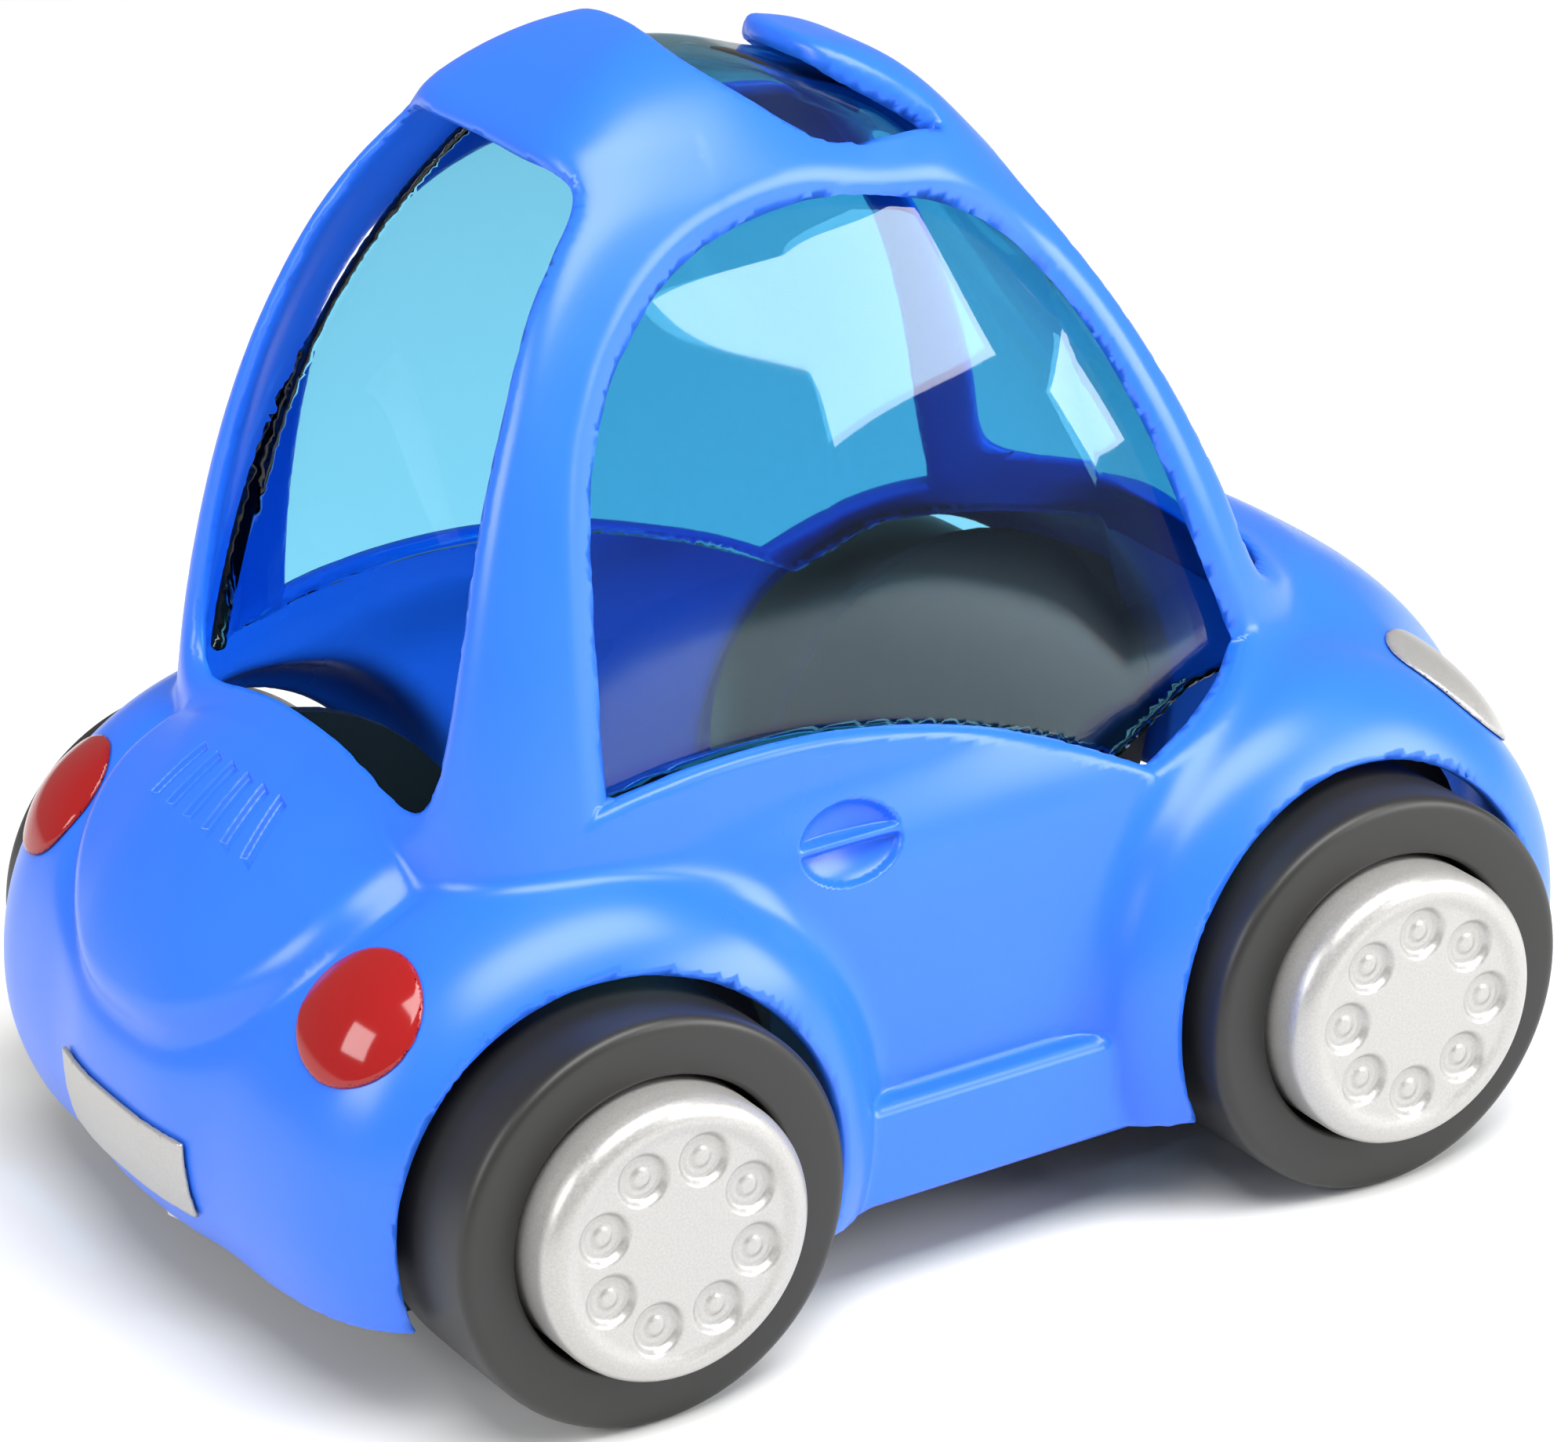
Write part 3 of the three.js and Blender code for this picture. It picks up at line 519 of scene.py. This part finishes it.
def spread(tree, source, low, high):
    """The source's 0..1 as low..high."""
    node = tree.nodes.new("ShaderNodeMapRange")
    node.inputs["From Min"].default_value = 0.3
    node.inputs["From Max"].default_value = 0.7
    node.inputs["To Min"].default_value = low
    node.inputs["To Max"].default_value = high
    tree.links.new(source, node.inputs["Value"])
    return node.outputs["Result"]


def bumped(tree, shader, source, strength, depth):
    bump = tree.nodes.new("ShaderNodeBump")
    bump.inputs["Strength"].default_value = strength
    bump.inputs["Distance"].default_value = depth
    tree.links.new(source, bump.inputs["Height"])
    tree.links.new(bump.outputs["Normal"], shader.inputs["Normal"])


def tinted(tree, shader, source, dark, light):
    mix = tree.nodes.new("ShaderNodeMix")
    mix.data_type = "RGBA"
    mix.inputs["A"].default_value = (*dark, 1)
    mix.inputs["B"].default_value = (*light, 1)
    tree.links.new(source, mix.inputs["Factor"])
    tree.links.new(mix.outputs["Result"], shader.inputs["Base Color"])


def moulded_plastic(name, colour, roughness, grain=900, bump=0.06, shade=0.93, coat=0.0):
    """Injection moulded plastic: a fine skin texture, faint flow clouds and handling wear in the gloss."""
    material, tree, shader = new_material(name)
    clouds = noise(tree, 45, 3)
    skin = noise(tree, grain * 4, 1)
    dark = tuple(c * shade for c in colour)
    tinted(tree, shader, spread(tree, clouds.outputs["Fac"], 0, 1), dark, colour)
    gloss = spread(tree, clouds.outputs["Fac"], roughness * 0.9, roughness * 1.1)
    tree.links.new(gloss, shader.inputs["Roughness"])
    bumped(tree, shader, skin.outputs["Fac"], bump, 0.00002)
    shader.inputs["Coat Weight"].default_value = coat
    shader.inputs["Coat Roughness"].default_value = 0.15
    shader.inputs["IOR"].default_value = 1.49
    return material


def tinted_glass(name, tint, layer_tint):
    """Clear tinted plastic that lets light through to what is behind it."""
    material, tree, shader = new_material(name)
    shader.inputs["Base Color"].default_value = (*tint, 1)
    shader.inputs["Transmission Weight"].default_value = 1
    shader.inputs["Roughness"].default_value = 0.02
    shader.inputs["IOR"].default_value = 1.45
    path = tree.nodes.new("ShaderNodeLightPath")
    clear = tree.nodes.new("ShaderNodeBsdfTransparent")
    clear.inputs["Color"].default_value = (*layer_tint, 1)
    mix = tree.nodes.new("ShaderNodeMixShader")
    tree.links.new(path.outputs["Is Shadow Ray"], mix.inputs[0])
    tree.links.new(shader.outputs[0], mix.inputs[1])
    tree.links.new(clear.outputs[0], mix.inputs[2])
    tree.links.new(mix.outputs[0], tree.nodes["Material Output"].inputs["Surface"])
    return material


def metallic_plastic(name, colour, roughness):
    """Silver plastic with metal flake moulded in."""
    material, tree, shader = new_material(name)
    flake = tree.nodes.new("ShaderNodeTexVoronoi")
    coordinates = tree.nodes.new("ShaderNodeTexCoord")
    flake.inputs["Scale"].default_value = 3500
    tree.links.new(coordinates.outputs["Object"], flake.inputs["Vector"])
    grain = noise(tree, 4200, 2)
    shader.inputs["Metallic"].default_value = 0.5
    dark = tuple(c * 0.86 for c in colour)
    tinted(tree, shader, spread(tree, grain.outputs["Fac"], 0, 1), dark, colour)
    gloss = spread(tree, grain.outputs["Fac"], roughness * 0.85, roughness * 1.15)
    tree.links.new(gloss, shader.inputs["Roughness"])
    bumped(tree, shader, flake.outputs["Distance"], 0.08, 0.00002)
    return material


def steel(name, colour, roughness):
    material, tree, shader = new_material(name)
    grain = noise(tree, 700, 3)
    shader.inputs["Metallic"].default_value = 1
    dark = tuple(c * 0.85 for c in colour)
    tinted(tree, shader, spread(tree, grain.outputs["Fac"], 0, 1), dark, colour)
    gloss = spread(tree, grain.outputs["Fac"], roughness * 0.8, roughness * 1.2)
    tree.links.new(gloss, shader.inputs["Roughness"])
    return material


BLUE = moulded_plastic("blue_plastic", (0.022, 0.15, 0.79), 0.3)
TINT = tinted_glass("tinted_plastic", (0.18, 0.55, 0.76), (0.42, 0.74, 0.87))
BLACK = moulded_plastic("black_plastic", (0.01, 0.01, 0.011), 0.42, bump=0.02)
CASE = moulded_plastic("motor_plastic", (0.02, 0.02, 0.021), 0.35)
TYRE = moulded_plastic("tyre_rubber", (0.016, 0.0155, 0.0148), 0.42, grain=600, bump=0.15, shade=0.85)
SILVER = metallic_plastic("silver_plastic", (0.47, 0.46, 0.445), 0.36)
RED = moulded_plastic("red_plastic", (0.3, 0.008, 0.008), 0.1, bump=0.01)
GEAR = moulded_plastic("gear_plastic", (0.82, 0.81, 0.76), 0.45)
STEEL = steel("bright_steel", (0.62, 0.62, 0.61), 0.28)
SPRING = steel("spring_steel", (0.4, 0.4, 0.42), 0.35)

# ---- Shell and canopy ----
VENT_BOX = (-11, 49, 41.5), (11, 58.5, 52), 4
HANDLE_BOXES = [((x - 3, 4.5, 38), (x + 3, 18, 48.5), 2) for x in (-HANDLE[0], HANDLE[0])]
FINE = [VENT_BOX, *HANDLE_BOXES]
shell = field_mesh("moulded_shell", shell_field, (-50, -78, 6), (50, 73, 113), 0.8, FINE, emboss)
finished(shell, BLUE, "car_body", "body_shell")
canopy = field_mesh("glazing_canopy", canopy_field, (-36, -62, 38), (36, 48, 111), 0.6)
finished(canopy, TINT, "car_body", "window_canopy")


# ---- Lamps and number plate ----
def on_surface(field, point):
    p = np.array([point], float)
    for _ in range(8):
        p = settle(field, p, 2.0)
    return p[0]


def lamp(name, at, axis, radius, rise, material, node):
    """A domed disc about its own axis, seated on the shell, with a rounded rim."""
    point = on_surface(body_distance, at)
    along = np.array(axis) / np.linalg.norm(axis)

    def field(x, y, z):
        offset = [v - c for v, c in zip((x, y, z), point)]
        axial = sum(a * n for a, n in zip(offset, along))
        away = np.sqrt(np.maximum(sum(a * a for a in offset) - axial**2, 0))
        seat = body_distance(x, y, z)
        dome = seat - rise * np.maximum(1 - (away / radius) ** 2, -0.2) - 0.35
        return soft_max(soft_max(dome, away - radius, 0.5), 0.1 - seat, 0.1)

    obj = field_mesh(name, field, point - radius - 3, point + radius + 3, 0.25)
    return finished(obj, material, "car_body", node)


for side, word in ((1, "left"), (-1, "right")):
    head = (side * HEADLIGHT_AT[0], *HEADLIGHT_AT[1:])
    tail = (side * TAILLIGHT_AT[0], *TAILLIGHT_AT[1:])
    head_axis = (side * 0.35, -0.72, 0.6)
    tail_axis = (side * 0.14, 0.82, 0.55)
    head_node, tail_node = f"headlight_{word}", f"taillight_{word}"
    lamp(f"head_lamp_{word}", head, head_axis, 7.4, 1.3, SILVER, head_node)
    lamp(f"tail_lamp_{word}", tail, tail_axis, 6.4, 1.0, RED, tail_node)


def plate_field(x, y, z):
    outside = body_distance(x, y, z)
    slab = np.maximum(outside - 0.6, 0.1 - outside)
    middle_z = (PLATE_LOW.z + PLATE_HIGH.z) / 2
    half = (PLATE_HIGH.x, 30, (PLATE_HIGH.z - PLATE_LOW.z) / 2)
    return soft_max(slab, rounded_box(x, y, z, (0, 60, middle_z), half, 0.3), 0.25)


plate = field_mesh("rear_plate", plate_field, (-14, 56, 12), (14, 72, 23), 0.35)
finished(plate, SILVER, "car_body", "number_plate")


# ---- Wheels ----
def round_profile(corners, steps=6):
    """Corner points (radius, x, rounding) with each corner rounded by an arc-like curve."""
    points = []
    count = len(corners)
    for i in range(count):
        r, x, rounding = corners[i]
        here = np.array([r, x], float)
        if rounding <= 0:
            points.append(here)
            continue
        before = np.array(corners[i - 1][:2], float) - here
        after = np.array(corners[(i + 1) % count][:2], float) - here
        start = here + before / np.linalg.norm(before) * rounding
        end = here + after / np.linalg.norm(after) * rounding
        for k in range(steps + 1):
            t = k / steps
            points.append((1 - t) ** 2 * start + 2 * t * (1 - t) * here + t * t * end)
    return points


def lathe(name, profile, side, y, sides=160, closed=True):
    """A profile of (radius, x) turned about the wheel's axis."""
    vertices, faces = [], []
    count = len(profile)
    for i in range(sides):
        angle = 2 * math.pi * i / sides
        for r, x in profile:
            vertices.append((side * x, y + r * math.cos(angle), AXLE_Z + r * math.sin(angle)))
    last = count if closed else count - 1
    for i in range(sides):
        j = (i + 1) % sides
        for k in range(last):
            m = (k + 1) % count
            face = (i * count + k, i * count + m, j * count + m, j * count + k)
            faces.append(face if side > 0 else face[::-1])
    return piece(name, vertices, faces)


def tyre(name, side, y):
    bore = HUB_R + 0.35
    corners = [
        (bore, TYRE_IN_X, 0.4),
        (TYRE_R - 0.1, TYRE_IN_X, 2.8),
        (TYRE_R, (TYRE_IN_X + TYRE_OUT_X) / 2, 4),
        (TYRE_R - 0.1, TYRE_OUT_X, 1.3),
        (bore + 0.2, TYRE_OUT_X - 0.1, 0.5),
    ]
    return lathe(name, round_profile(corners), side, y)


def hub(name, side, y, turn):
    """A silver hub with a rounded rim round a slightly sunken face, and a ring of dimples."""
    face_x = HUB_OUT_X
    sides, rings = 256, 84
    radii = HUB_R * np.sqrt(np.linspace(0, 1, rings) ** 1.6)
    angles = 2 * np.pi * np.arange(sides) / sides
    r, a = np.meshgrid(radii, angles, indexing="ij")
    rim = 2.1
    edge = np.clip((r - (HUB_R - rim)) / rim, 0, 1)
    x = face_x - rim * (1 - np.sqrt(np.maximum(1 - edge**2, 0)))
    x -= 0.35 * (1 - ramp(r, HUB_R - rim - 1.2, HUB_R - rim + 0.2))
    for i in range(8):
        centre = turn + i * math.pi / 4
        aside = r * np.cos(a) - DIMPLE_RING_R * math.cos(centre)
        above = r * np.sin(a) - DIMPLE_RING_R * math.sin(centre)
        away = np.hypot(aside, above)
        bowl = 1 - ramp(away, 1.9, DIMPLE_R)
        nub = 1 - ramp(away, 0.5, 1.3)
        ring = 1 - ramp(np.abs(away - 1.45), 0.0, 0.4)
        x -= 0.75 * bowl * (1 - 0.18 * (away / DIMPLE_R) ** 2) - 0.3 * nub - 0.08 * ring
    grid = np.stack([side * x, y + r * np.cos(a), AXLE_Z + r * np.sin(a)], -1)
    vertices = [(side * (face_x - 0.35), y, AXLE_Z)] + grid[1:].reshape(-1, 3).tolist()
    wall = [(HUB_R, TYRE_IN_X + 2), (HUB_R - 2, TYRE_IN_X + 2), (HUB_R - 2, face_x - 4)]
    wall += [(4.4, face_x - 4), (4.4, TYRE_IN_X + 0.4), (1.6, TYRE_IN_X + 0.4)]
    wall += [(1.6, face_x - 3.4), (0.01, face_x - 3.4)]
    for radius, depth in wall:
        across, up = y + radius * np.cos(angles), AXLE_Z + radius * np.sin(angles)
        ring = np.stack([np.full(sides, side * depth), across, up], -1)
        vertices += ring.tolist()
    faces = []
    total = rings - 1 + len(wall)
    for j in range(sides):
        n = (j + 1) % sides
        faces.append((0, 1 + j, 1 + n) if side > 0 else (0, 1 + n, 1 + j))
        for k in range(total - 1):
            here, beyond = 1 + k * sides, 1 + (k + 1) * sides
            quad = (here + j, beyond + j, beyond + n, here + n)
            faces.append(quad if side > 0 else quad[::-1])
    obj = piece(name, vertices, faces)
    split = obj.modifiers.new("edges", "EDGE_SPLIT")
    split.split_angle = math.radians(50)
    return obj


for end, y, turn in (("rear", AXLE_Y, math.radians(19.9)), ("front", -AXLE_Y, math.radians(4.3))):
    for side, word in ((1, "left"), (-1, "right")):
        rubber = tyre(f"rubber_tyre_{end}_{word}", side, y)
        finished(rubber, TYRE, f"{end}_wheels", f"tyre_{end}_{word}")
        disc = hub(f"wheel_hub_{end}_{word}", side, y, turn)
        finished(disc, SILVER, f"{end}_wheels", f"hub_{end}_{word}")


# ---- Pieces kept from the frame ----
def keep(node, material):
    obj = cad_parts[node]
    obj.data.materials.clear()
    obj.data.materials.append(material)


keep("chassis", BLACK)
for word in ("left", "right"):
    keep(f"motor_case_{word}", CASE)
    keep(f"motor_screw_{word}", STEEL)
STEEL_NODES = ("rear_axle", "front_axle", "layshaft_pin", "arbor_pin")
for node in (*STEEL_NODES, "body_screw_front", "body_screw_rear"):
    keep(node, STEEL)
for node in ("axle_pinion", "layshaft_gear", "spring_gear"):
    keep(node, GEAR)
keep("mainspring", SPRING)

# ---- Studio ----
CAMERA_AT = Vector((-457.2, 263.2 + SHIFT_Y, 263.0)) * MM
YAW, PITCH, ROLL = (math.radians(a) for a in (-30.19, -22.91, -2.47))
FOCAL = 7938.7 / 2000 * 36


def aimed(forward, roll):
    right = forward.cross(Vector((0, 0, 1))).normalized()
    up = right.cross(forward)
    right, up = (
        right * math.cos(roll) + up * math.sin(roll),
        up * math.cos(roll) - right * math.sin(roll),
    )
    return Matrix((right, up, -forward)).transposed()


def add_camera():
    data = bpy.data.cameras.new("camera")
    data.lens = FOCAL
    data.sensor_width = 36
    data.clip_start, data.clip_end = 0.01, 20
    camera = bpy.data.objects.new("camera", data)
    level = math.cos(PITCH)
    forward = Vector((level * math.cos(YAW), level * math.sin(YAW), math.sin(PITCH)))
    camera.matrix_world = Matrix.Translation(CAMERA_AT) @ aimed(forward, ROLL).to_4x4()
    bpy.context.scene.collection.objects.link(camera)
    bpy.context.scene.camera = camera


def add_light(name, at, target, size, power_watts, size_y=None):
    data = bpy.data.lights.new(name, "AREA")
    data.shape = "RECTANGLE"
    data.size, data.size_y = size, size_y or size
    data.energy = power_watts
    lamp_object = bpy.data.objects.new(name, data)
    lamp_object.location = at
    lamp_object.rotation_mode = "QUATERNION"
    lamp_object.rotation_quaternion = (Vector(target) - Vector(at)).to_track_quat("-Z", "Y")
    bpy.context.scene.collection.objects.link(lamp_object)


def add_floor():
    mesh = bpy.data.meshes.new("floor")
    mesh.from_pydata([(-6, -6, 0), (6, -6, 0), (6, 6, 0), (-6, 6, 0)], [], [(0, 1, 2, 3)])
    floor = bpy.data.objects.new("floor", mesh)
    material, _, shader = new_material("pale_floor")
    shader.inputs["Base Color"].default_value = (0.86, 0.86, 0.85, 1)
    shader.inputs["Roughness"].default_value = 0.9
    mesh.materials.append(material)
    bpy.context.scene.collection.objects.link(floor)


def add_world():
    world = bpy.data.worlds.new("studio")
    world.use_nodes = True
    world.node_tree.nodes["Background"].inputs["Color"].default_value = (1, 1, 1, 1)
    world.node_tree.nodes["Background"].inputs["Strength"].default_value = 0.3
    bpy.context.scene.world = world


add_camera()
add_floor()
add_world()
add_light("soft_box_right", (-0.55, -0.62, 0.35), (0, 0, 0.05), 0.62, 6.5, 0.36)
add_light("soft_box_top", (-0.42, -0.02, 0.95), (0, 0, 0.05), 1.05, 15, 0.5)
add_light("soft_box_rear", (0.0, 0.95, 0.5), (0, 0, 0.05), 0.5, 5, 0.4)
bpy.context.scene.view_settings.view_transform = "Standard"
